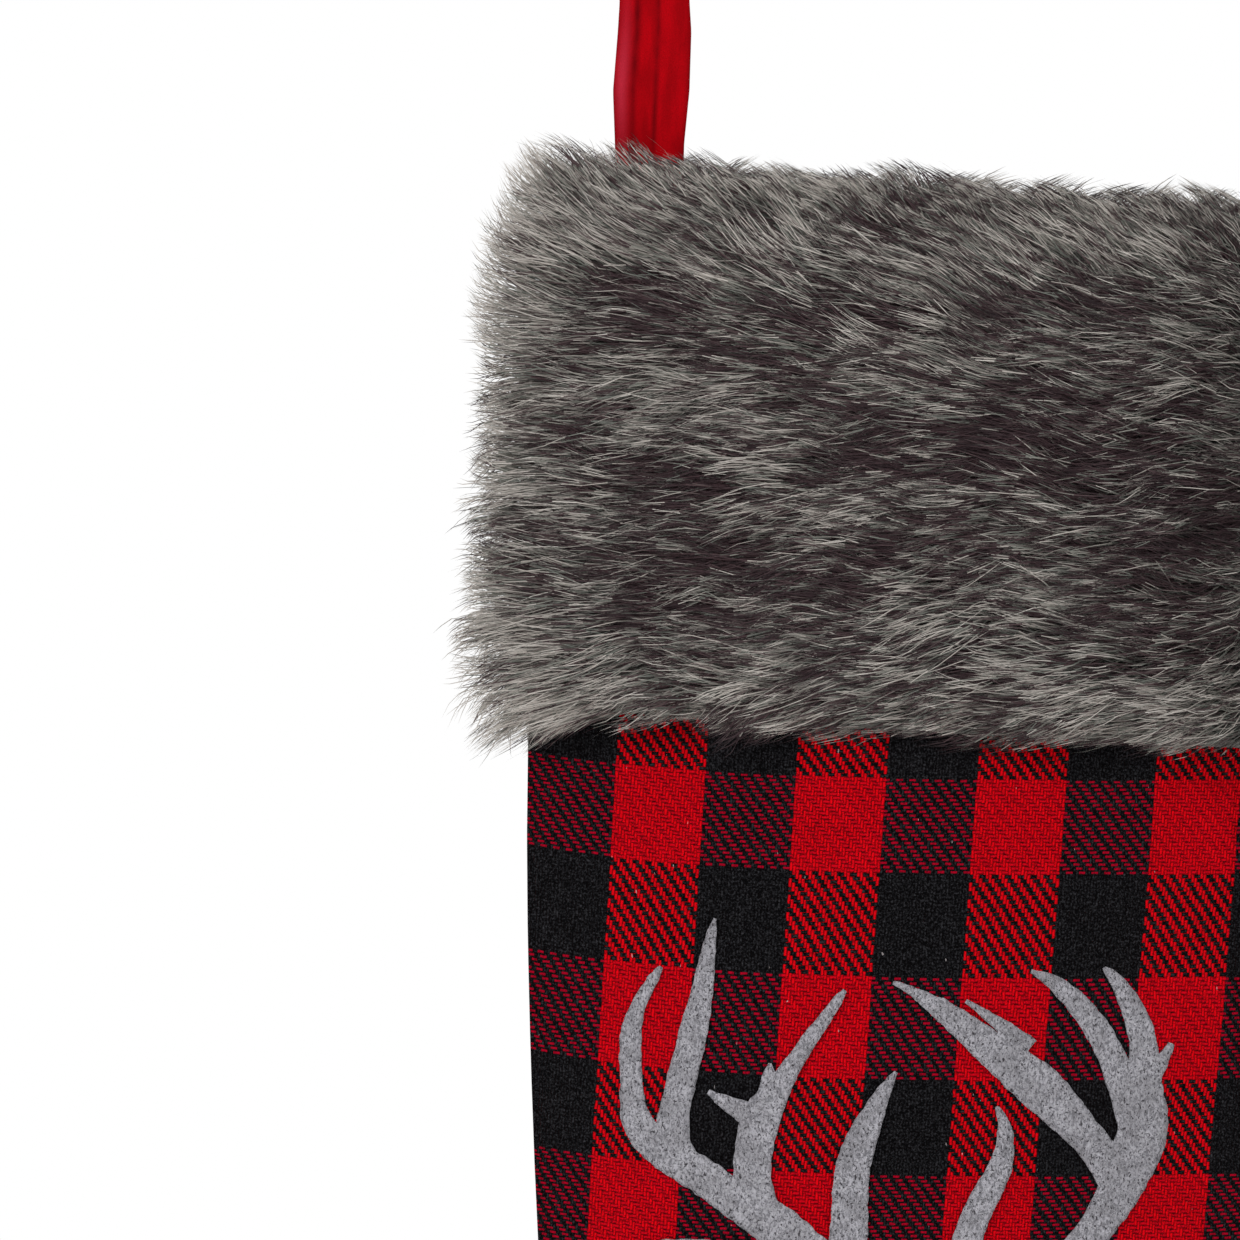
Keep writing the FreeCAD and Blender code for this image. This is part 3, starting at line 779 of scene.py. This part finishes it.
def ground(around, along):
    """The fur's ground: for a distance around the cuff and a distance up its face, the place, the outward
    direction and the sideways direction in which the pile lies."""
    angle = np.interp(around % ROUND, ROUND_DISTANCE, ROUND_ANGLE)
    outwards = np.stack([np.cos(angle) / INNER_U, -np.sin(angle) / INNER_Y, 0 * angle], 1)
    outwards /= np.linalg.norm(outwards, axis=1)[:, None]
    sideways = np.stack([outwards[:, 1], -outwards[:, 0], 0 * angle], 1)
    turn = np.where(along < 0, along, np.where(along > STRAIGHT, along - STRAIGHT, 0)) / ROLL_RADIUS
    facing = outwards * np.cos(turn)[:, None]
    facing[:, 2] = np.sin(turn)
    height = GROUND_BOTTOM + ROLL_RADIUS + np.clip(along, 0, STRAIGHT)
    place = np.stack([CUFF_MIDDLE_U + INNER_U * np.cos(angle), -INNER_Y * np.sin(angle), height], 1)
    return place + facing * ROLL_RADIUS, facing, sideways


def fur_ground_piece(name, side, node):
    """The fabric that the hairs stand on, one half of the cuff."""
    start = 0 if side < 0 else ROUND / 2
    columns = start + np.linspace(0, ROUND / 2, GROUND_COLUMNS)
    around, along = np.meshgrid(columns, np.linspace(LOWEST, HIGHEST, GROUND_ROWS))
    points, facing, _ = ground(around.ravel(), along.ravel())
    points = points + facing * smooth_noise(points, 25 * MM, 11)[:, None] * 0.3 * MM
    index = np.arange(len(points)).reshape(GROUND_ROWS, GROUND_COLUMNS)
    corners = (index[:-1, :-1], index[:-1, 1:], index[1:, 1:], index[1:, :-1])
    a, b, c, d = (corner.ravel() for corner in corners)
    triangles = np.concatenate([np.stack([c, b, a], 1), np.stack([d, c, a], 1)])
    points, faces, starts = shell(points, triangles, GROUND_THICKNESS)
    mesh = mesh_from_arrays(name, to_row(points), faces, starts)
    piece = new_object(name, mesh, [MATERIALS["fur_ground"]])
    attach(piece, "stocking")
    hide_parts(node)


def fur_tone(place):
    """How dark the tips are at a place, from 0 to 1, apart from the pile's streaks."""
    tone = 0.60 + 0.16 * smooth_noise(place * (1, 1, 1.7), 60 * MM, 21, 2)
    for u, w, reach, darker in FUR_TONES:
        distance = np.hypot(place[:, 0] - u * MM, (place[:, 2] - w * MM) * 1.6) / (reach * MM)
        tone = tone + np.where(place[:, 1] < 0, darker, 0) * np.exp(-distance**2)
    height = place[:, 2] / MM
    over_edge = height - np.interp(place[:, 0] / MM, TRIM_LOW_U, TRIM_LOW_W)
    edge = np.interp(over_edge, [-4, -1, 2, 9, 24], [0.45, 0.2, -0.36, -0.28, 0.04])
    edge += np.interp(height, [-130, -118, -64, -46, -24, -4], [0, 0.13, 0.13, 0, -0.16, -0.32])
    # Lighter towards the heel-side edge: partly painted rim light, partly the paler hair shafts that show
    # where the pile is seen side-on.
    heel_rim_light = np.interp(place[:, 0] / MM, [-46, -28, -5], [-0.8, -0.42, -0.06])
    return tone + edge + heel_rim_light


def streaks(place):
    """The light and dark streaks that lie along the pile, about -1 to 1."""
    lying = place * (1, 1, 3)
    return 0.5 * smooth_noise(lying, 17 * MM, 22, 2) + 0.8 * smooth_noise(lying, 6 * MM, 23, 1)


def trimmed(path, uneven):
    """The hairs' points, with more than half of what reaches past the cuff's outline drawn back."""
    def drawn_back(values, limit, side):
        excess = np.maximum((values - limit) * side, 0)
        return values - side * excess * (1 - BEYOND_TRIM)

    u, y, w = path[..., 0], path[..., 1], path[..., 2]
    low = np.interp(u / MM, TRIM_LOW_U, TRIM_LOW_W) * MM
    high = np.interp(u / MM, TRIM_HIGH_U, TRIM_HIGH_W) * MM
    w = drawn_back(drawn_back(w, low - uneven[:, None], -1), high + uneven[:, None], 1)
    reach = GROUND_HALF_WIDTH + TRIM_SIDE + uneven[:, None]
    u = drawn_back(drawn_back(u - CUFF_MIDDLE_U, -reach, -1), reach, 1) + CUFF_MIDDLE_U
    reach = GROUND_DEPTH + TRIM_FACE
    y = drawn_back(drawn_back(y, -reach, -1), reach, 1)
    return np.stack([u, y, w], -1)


def hair_shades(path, root, own):
    """The shade of each stretch of every hair. A hair's own tone is added to that of its place."""
    count = len(path)
    own = rng.normal(0, 0.15, count) + own + 0.4 * smooth_noise(root, 3.5 * MM, 24, 1)
    jitter = rng.normal(0, 0.5, count)
    shades = np.zeros((count, HAIR_STEPS), np.int32)
    for step in range(HAIR_STEPS):
        share = (step + 0.5) / HAIR_STEPS
        middle = (path[:, step] + path[:, step + 1]) / 2
        strength = fur_tone(middle) + 0.65 * streaks(middle) + own + 0.9 * (share - 0.6)
        light = np.interp(share, HAIR_PLACES, LIGHT_RUN)
        dark = np.interp(share, HAIR_PLACES, DARK_RUN)
        shade = light + (dark - light) * np.clip(strength, 0, 1) + jitter
        shades[:, step] = np.clip(np.round(shade), 0, len(FUR_SHADES) - 1)
    return shades


def hairs():
    """Every hair's points, which way its ground faces, its shades and its root, grown in tufts."""
    columns = round(ROUND / TUFT_SPACING)
    rows = round((HIGHEST - LOWEST) / TUFT_SPACING)
    column, row = np.meshgrid(np.arange(columns), np.arange(rows))
    tufts = column.size
    around = (column.ravel() + 0.5 * (row.ravel() % 2) + rng.uniform(-0.45, 0.45, tufts)) * ROUND / columns
    along = LOWEST + (row.ravel() + 0.5 + rng.uniform(-0.45, 0.45, tufts)) * (HIGHEST - LOWEST) / rows
    centre, _, _ = ground(around, along)
    tuft_turn = rng.normal(0, 5, tufts) + 13 * smooth_noise(centre, 34 * MM, 31, 2)
    tuft_lift = rng.normal(0, 5, tufts) + 9 * smooth_noise(centre, 30 * MM, 32, 2)
    tuft_length = rng.normal(1, 0.07, tufts) * (1 + 0.08 * smooth_noise(centre, 20 * MM, 33, 2))
    tuft_pull = rng.uniform(0.35, 0.85, tufts)
    tuft_wave = rng.uniform(0, 2 * math.pi, tufts)
    tuft_tone = rng.normal(0, 0.28, tufts)

    tuft = np.repeat(np.arange(tufts), HAIRS_PER_TUFT)
    count = len(tuft)
    spread = TUFT_SPACING * 0.52
    hair_around = around[tuft] + rng.normal(0, spread, count)
    hair_along = np.clip(along[tuft] + rng.normal(0, spread * 0.8, count), LOWEST, HIGHEST)
    root, facing, sideways = ground(hair_around, hair_along)
    short = rng.random(count) < 0.3
    height = root[:, 2] / MM
    lay = np.interp(height, LAY_HEIGHTS, LAY_ANGLES)
    heel_side = np.interp(root[:, 0] / MM, [0, 50], [1, 0])
    lay += CORNER_LAY * heel_side * np.interp(height, [-138, -112], [1, 0])
    turn = np.radians(lay + tuft_turn[tuft] + rng.normal(0, 6, count))
    flow = sideways * np.cos(turn)[:, None]
    flow[:, 2] += np.sin(turn)
    length = HAIR_LENGTH * tuft_length[tuft] * rng.normal(1, 0.08, count)
    rolled = np.abs(facing[:, 2])  # 1 where the ground has turned to face up or down
    at_corner = np.interp(root[:, 0] / MM, [-10, 20], [1, 0])
    at_bottom = np.interp(height, [-146, -134], [1, 0])
    length *= 1 - 0.38 * at_bottom * (1 - at_corner) - 0.38 * np.interp(height, [-26, -8], [0, 1])
    length *= np.where(short, rng.uniform(0.4, 0.65, count), 1)
    lift_low = np.clip(STEEP_LIFT + tuft_lift[tuft] + rng.normal(0, 8, count), 15, 70)
    lift_high = np.clip(FLAT_LIFT + tuft_lift[tuft] + rng.normal(0, 8, count), -8, 35)
    unrolled = 1 - 0.7 * rolled
    across = np.cross(flow, facing)
    path = np.zeros((count, HAIR_STEPS + 1, 3))
    path[:, 0] = root - facing * 0.3 * MM
    for step in range(HAIR_STEPS):
        share = (step + 0.5) / HAIR_STEPS
        lift = np.radians((lift_low + (lift_high - lift_low) * share) * unrolled)[:, None]
        swing = 0.16 * np.sin(tuft_wave[tuft] + share * 4.5) + rng.normal(0, 0.07, count)
        heading = flow * np.cos(lift) + facing * np.sin(lift) + across * swing[:, None]
        heading[:, 2] -= 0.05 * share
        heading /= np.linalg.norm(heading, axis=1)[:, None]
        path[:, step + 1] = path[:, step] + heading * (length / HAIR_STEPS)[:, None]
    aside = root - centre[tuft]
    for step in range(1, HAIR_STEPS + 1):
        share = step / HAIR_STEPS
        path[:, step] -= aside * (tuft_pull[tuft] * share**1.3 * 0.9)[:, None]
    tuft_reach = rng.normal(0, TRIM_UNEVEN, tufts) + TRIM_UNEVEN * smooth_noise(centre, 22 * MM, 34, 1)
    path = trimmed(path, tuft_reach[tuft] + rng.normal(0, 0.8 * MM, count))
    shades = hair_shades(path, root, tuft_tone[tuft] - 0.3 * short)
    return path, facing, shades, root


def ribbons(name, path, facing, width, shades):
    """One mesh of flat tapering ribbons, one for each path; the last stretch comes to a point."""
    count, stations, _ = path.shape
    steps = stations - 1
    lean = facing + rng.normal(0, 0.45, (count, 3))
    taper = np.interp(np.arange(steps) / steps, [0, 0.5, 1], [1, 0.9, 0.35])
    points = np.zeros((count, 2 * steps + 1, 3))
    for step in range(steps):
        heading = path[:, step + 1] - path[:, step]
        across = np.cross(heading, lean)
        across /= np.maximum(np.linalg.norm(across, axis=1), 1e-12)[:, None]
        half = across * (width * taper[step] / 2)[:, None]
        points[:, 2 * step] = path[:, step] - half
        points[:, 2 * step + 1] = path[:, step] + half
    points[:, -1] = path[:, -1]
    corners = []
    for step in range(steps - 1):
        corners += [2 * step, 2 * step + 1, 2 * step + 3, 2 * step + 2]
    corners += [2 * steps - 2, 2 * steps - 1, 2 * steps]
    loops = np.array(corners) + np.arange(count)[:, None] * (2 * steps + 1)
    first = np.arange(steps) * 4 + np.arange(count)[:, None] * len(corners)
    points = to_row(points.reshape(-1, 3))
    mesh = mesh_from_arrays(name, points, loops.ravel(), first.ravel(), shades.ravel())
    piece = new_object(name, mesh, FUR_MATERIALS)
    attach(piece, "stocking")


def fur():
    fur_ground_piece("fur_ground_front", -1, "cuff_fur_front")
    fur_ground_piece("fur_ground_back", 1, "cuff_fur_back")
    path, facing, shades, root = hairs()
    width = HAIR_WIDTH * rng.uniform(0.7, 1.25, len(path))
    third = np.clip(((root[:, 2] - GROUND_BOTTOM) / (GROUND_TOP - GROUND_BOTTOM) * 3).astype(int), 0, 2)
    for side, where in ((-1, "front"), (1, "back")):
        for level, height in enumerate(("bottom", "middle", "top")):
            chosen = (third == level) & (root[:, 1] * side > 0)
            ribbons(f"fur_{where}_{height}", path[chosen], facing[chosen], width[chosen], shades[chosen])


fur()


# -------- the velvet loop

TAPE_WIDTH = 20.0 * MM
TAPE_THICKNESS = 1.2 * MM
PEG_RADIUS = 6.0 * MM
TAPE_CLOSED = 7.0 * MM  # over the fold, where the two sides of the loop come together
TAPE_STEP = 1.5 * MM
TAIL_PLACES = 9
PEG_PLACES = 25


def tails_front(low, high):
    """Places on the front face of the sewn tails between two heights, as y and w."""
    surface = upright_node("loop_sewn_tails")
    tree = BVHTree.FromBMesh(surface)
    places = []
    for height in np.linspace(low, high, TAIL_PLACES):
        hit = tree.ray_cast(Vector((0, -1, height)), Vector((0, 1, 0)))[0]
        places.append((hit.y, height))
    surface.free()
    return places


def tape_line():
    """The tape's middle: up from one tail, over the peg and down to the other, in the row frame."""
    low, high = upright_box("loop_sewn_tails")
    places = tails_front(low[2] + 1 * MM, high[2] - 0.5 * MM)
    half = TAPE_THICKNESS / 2
    front = [Vector(point) for point in to_row([(0, y + half, w) for y, w in places])]
    back = [Vector(point) for point in to_row([(0, y + 3 * half, w) for y, w in places])]
    closed = FOLD.z + TAPE_CLOSED
    radius = PEG_RADIUS + half
    distance = math.hypot(half, closed)
    angle = math.atan2(closed, half) + math.acos(radius / distance)
    over = [Vector((0, -radius * math.cos(a), radius * math.sin(a)))
            for a in np.linspace(angle, math.pi - angle, PEG_PLACES)]
    up = [Vector((0, -half, FOLD.z + 1.5 * MM)), Vector((0, -half, closed))]
    down = [Vector((0, half, closed)), Vector((0, half, FOLD.z + 1.5 * MM))]
    return front + up + over + down + back[::-1]


def tape_stations():
    """Points at even distances along the tape, and its sideways and outward directions at each."""
    line = np.array(tape_line())
    distance = distances(line)
    places = np.linspace(0, distance[-1], round(distance[-1] / TAPE_STEP) + 1)
    line = at_distances(places, distance, line)
    for _ in range(3):
        line[1:-1] = (line[:-2] + 2 * line[1:-1] + line[2:]) / 4
    along = np.gradient(line, axis=0)
    along /= np.linalg.norm(along, axis=1)[:, None]
    across = np.tile([1.0, 0, 0], (len(line), 1))
    outwards = np.cross(along, across)
    return line, across, outwards


# Across the tape, from -1 to 1: where the folded strip meets itself, and a softer second crease.
TAPE_SEAM = 0.11
TAPE_CREASE = -0.48
SEAM_REACH = 0.075
CREASE_REACH = 0.10
SEAM_DEPTH = 0.85 * MM
CREASE_DEPTH = 0.75 * MM
PILLOW_HEIGHT = 0.6 * MM
CAMBER = 0.7 * MM

# How the tape narrows and drifts: height over the fold in millimetres, share of the width, sideways place.
TAPE_HEIGHTS = [0, 9, 23, 39, 47, 65, 90]
TAPE_WIDENS = [0.92, 0.945, 1.04, 1.0, 0.95, 0.98, 1.0]
TAPE_DRIFTS = [-0.6, -0.55, -0.1, 0.8, 0.8, 0.3, 0]
SHEEN_HEIGHT = 26 * MM  # how far over the fold the painted sheen at the heel-side edge is strongest
SHEEN_REACH = 15 * MM


def tape_drift(line):
    """The tape's sideways place and its share of the full width, at each station."""
    over_fold = (line[:, 2] - FOLD.z) / MM
    sway = np.interp(over_fold, TAPE_HEIGHTS, TAPE_DRIFTS) * MM
    return sway, np.interp(over_fold, TAPE_HEIGHTS, TAPE_WIDENS)


def tape_relief(s, outer):
    """How far a face of the tape stands from its middle, in metres, at s across the tape."""
    rounded = 0.5 * TAPE_THICKNESS * (1 - np.abs(s) ** 10)
    if not outer:
        return -rounded * 0.9
    pillow = PILLOW_HEIGHT * np.cos(s * math.pi / 2) ** 0.6
    seam = SEAM_DEPTH * hill(s, TAPE_SEAM, SEAM_REACH)
    return rounded + pillow - seam - CREASE_DEPTH * hill(s, TAPE_CREASE, CREASE_REACH)


def tube_faces(stations, corners):
    """A closed tube of rings: every face's corners in one row, and where each face starts in that row."""
    index = np.arange(stations * corners).reshape(stations, corners)
    following = np.roll(index, -1, axis=1)
    sides = np.stack([index[:-1], following[:-1], following[1:], index[1:]], 2).reshape(-1, 4)
    loops = np.concatenate([sides.ravel(), index[0][::-1], index[-1]])
    starts = np.concatenate([np.arange(len(sides)) * 4, [len(sides) * 4, len(sides) * 4 + corners]])
    return loops, starts


def velvet_tape():
    line, across, outwards = tape_stations()
    s = np.cos(np.linspace(0, math.pi, 61))
    profile_s = np.concatenate([s, s[1:-1][::-1]])
    height = np.concatenate([tape_relief(s, True), tape_relief(s[1:-1][::-1], False)])
    height -= CAMBER * profile_s**2
    sway, widen = tape_drift(line)
    aside = sway[:, None] + profile_s * widen[:, None] * TAPE_WIDTH / 2
    points = line[:, None] + across[:, None] * aside[..., None] + outwards[:, None] * height[:, None]
    flat = points.reshape(-1, 3)
    loops, starts = tube_faces(*aside.shape)
    mesh = mesh_from_arrays("velvet_tape", flat, loops, starts)
    # Painted shade, the first number of the "pile" attribute: darkest in the seam, the crease and along the
    # rounded edges, a little uneven.
    painted_crease_shade = 0.7 * hill(profile_s, TAPE_SEAM, SEAM_REACH) + 0.75 * hill(profile_s, TAPE_CREASE, CREASE_REACH)
    painted_crease_shade = painted_crease_shade + 0.6 * np.abs(profile_s) ** 14
    painted_crease_shade = painted_crease_shade * (0.85 + 0.3 * smooth_noise(flat, 12 * MM, 43).reshape(aside.shape))
    # Painted sheen, the attribute's second number: faint all along, with a light band at the heel-side edge
    # that is strongest some way over the fold.
    brushed_tone_and_sheen = 0.1 + 0.6 * hill(line[:, 2], FOLD.z + SHEEN_HEIGHT, SHEEN_REACH)
    painted_sheen = hill(profile_s, -0.8, 0.17) * brushed_tone_and_sheen[:, None]
    store_vectors(mesh, "pile", np.stack([np.clip(painted_crease_shade, 0, 1), painted_sheen, 0 * painted_sheen], 2))
    piece = new_object("velvet_tape", mesh, [MATERIALS["velvet"]])
    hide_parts("hanging_loop", "loop_sewn_tails")
    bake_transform(piece)


STITCH_LENGTH = 2.3 * MM
STITCH_PITCH = 3.2 * MM
STITCH_RADIUS = 0.26 * MM
STITCH_ARCH = 0.15 * MM
STITCH_RINGS = 7
STITCH_CORNERS = 8


def velvet_stitches():
    """The stitches that close the folded tape, in the seam on its outer face."""
    line, across, outwards = tape_stations()
    sway, widen = tape_drift(line)
    seam_place = sway + widen * TAPE_SEAM * TAPE_WIDTH / 2
    distance = distances(line)
    over_fold = distance[line[:, 2] > FOLD.z + TAPE_CLOSED]
    count = int((over_fold[-1] - over_fold[0]) / STITCH_PITCH)
    share = np.linspace(0, 1, STITCH_RINGS)
    at = over_fold[0] + (np.arange(count)[:, None] * STITCH_PITCH + share * STITCH_LENGTH).ravel()
    middle = at_distances(at, distance, line)
    out = at_distances(at, distance, outwards)
    arch = np.tile(np.sin(math.pi * share), count)
    lift = tape_relief(TAPE_SEAM, True) + STITCH_ARCH * arch
    middle += across[0] * np.interp(at, distance, seam_place)[:, None] + out * lift[:, None]
    turn = np.linspace(0, 2 * math.pi, STITCH_CORNERS, endpoint=False)[:, None]
    round_thread = across[0] * np.cos(turn) + out[:, None] * np.sin(turn)
    swell = STITCH_RADIUS * (0.25 + 0.75 * np.sqrt(arch))
    points = middle[:, None] + round_thread * swell[:, None, None]
    loops, starts = tube_faces(STITCH_RINGS, STITCH_CORNERS)
    stitch = np.arange(count)[:, None]
    loops, starts = loops + stitch * STITCH_RINGS * STITCH_CORNERS, starts + stitch * len(loops)
    mesh = mesh_from_arrays("velvet_stitches", points.reshape(-1, 3), loops.ravel(), starts.ravel())
    piece = new_object("velvet_stitches", mesh, [MATERIALS["thread_red"]])
    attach(piece, "loop")
    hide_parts("loop_topstitch_thread")


velvet_tape()
velvet_stitches()


# -------- camera, light and floor

PHOTO_SIDE = 335 * MM  # what the square frame spans at the stocking's front
PHOTO_CENTRE = Vector((-8.6, 0, -218.0)) * MM
LENS = 200.0
SENSOR = 36.0


def make_camera():
    camera = bpy.data.cameras.new("camera")
    camera.lens = LENS
    camera.sensor_width = SENSOR
    camera.clip_end = 20
    holder = new_object("camera", camera)
    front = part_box("plaid_panel_front")[0].y * 0.8
    holder.location = PHOTO_CENTRE + Vector((0, front - PHOTO_SIDE * LENS / SENSOR, 0))
    holder.rotation_euler = (math.pi / 2, 0, 0)
    bpy.context.scene.camera = holder


def area_light(name, place, target, size, power):
    light = bpy.data.lights.new(name, "AREA")
    light.shape = "DISK"
    light.size = size
    light.energy = power
    holder = new_object(name, light)
    holder.location = place
    holder.rotation_euler = (Vector(target) - Vector(place)).to_track_quat("-Z", "Y").to_euler()


def make_light():
    """Soft studio light: a pale surround, a white backdrop and three large lamps."""
    world = bpy.data.worlds.new("studio")
    bpy.context.scene.world = world
    world.use_nodes = True
    nodes = world.node_tree.nodes
    links = world.node_tree.links
    backdrop = nodes["Background"]
    surround = nodes.new("ShaderNodeBackground")
    for background, strength in ((backdrop, 1.0), (surround, 0.40)):
        background.inputs["Color"].default_value = (1, 1, 1, 1)
        background.inputs["Strength"].default_value = strength
    seen = nodes.new("ShaderNodeLightPath")
    chosen = nodes.new("ShaderNodeMixShader")
    links.new(seen.outputs["Is Camera Ray"], chosen.inputs[0])
    links.new(surround.outputs[0], chosen.inputs[1])
    links.new(backdrop.outputs[0], chosen.inputs[2])
    links.new(chosen.outputs[0], nodes["World Output"].inputs["Surface"])
    area_light("key", (-0.9, -1.6, 0.7), (0.05, 0, -0.25), 0.9, 17)
    area_light("fill", (1.3, -1.5, -0.1), (0.05, 0, -0.3), 1.2, 5.5)
    area_light("rim", (0.3, 1.6, 0.8), (0.05, 0, -0.3), 1.2, 14)


def make_floor():
    side, behind, below = 3.0, 1.6, 0.03
    mesh = bpy.data.meshes.new("floor")
    z = cad_box[0].z - below
    corners = [(-side, -side, z), (side, -side, z), (side, behind, z), (-side, behind, z)]
    mesh.from_pydata(corners, [], [(0, 1, 2, 3)])
    shader = Shader("floor_pale", 0.9, specular=0.1)
    shader.colour(srgb(236, 236, 234))
    new_object("floor", mesh, [shader.material])


make_camera()
make_light()
make_floor()
bpy.context.scene.view_settings.view_transform = "Standard"
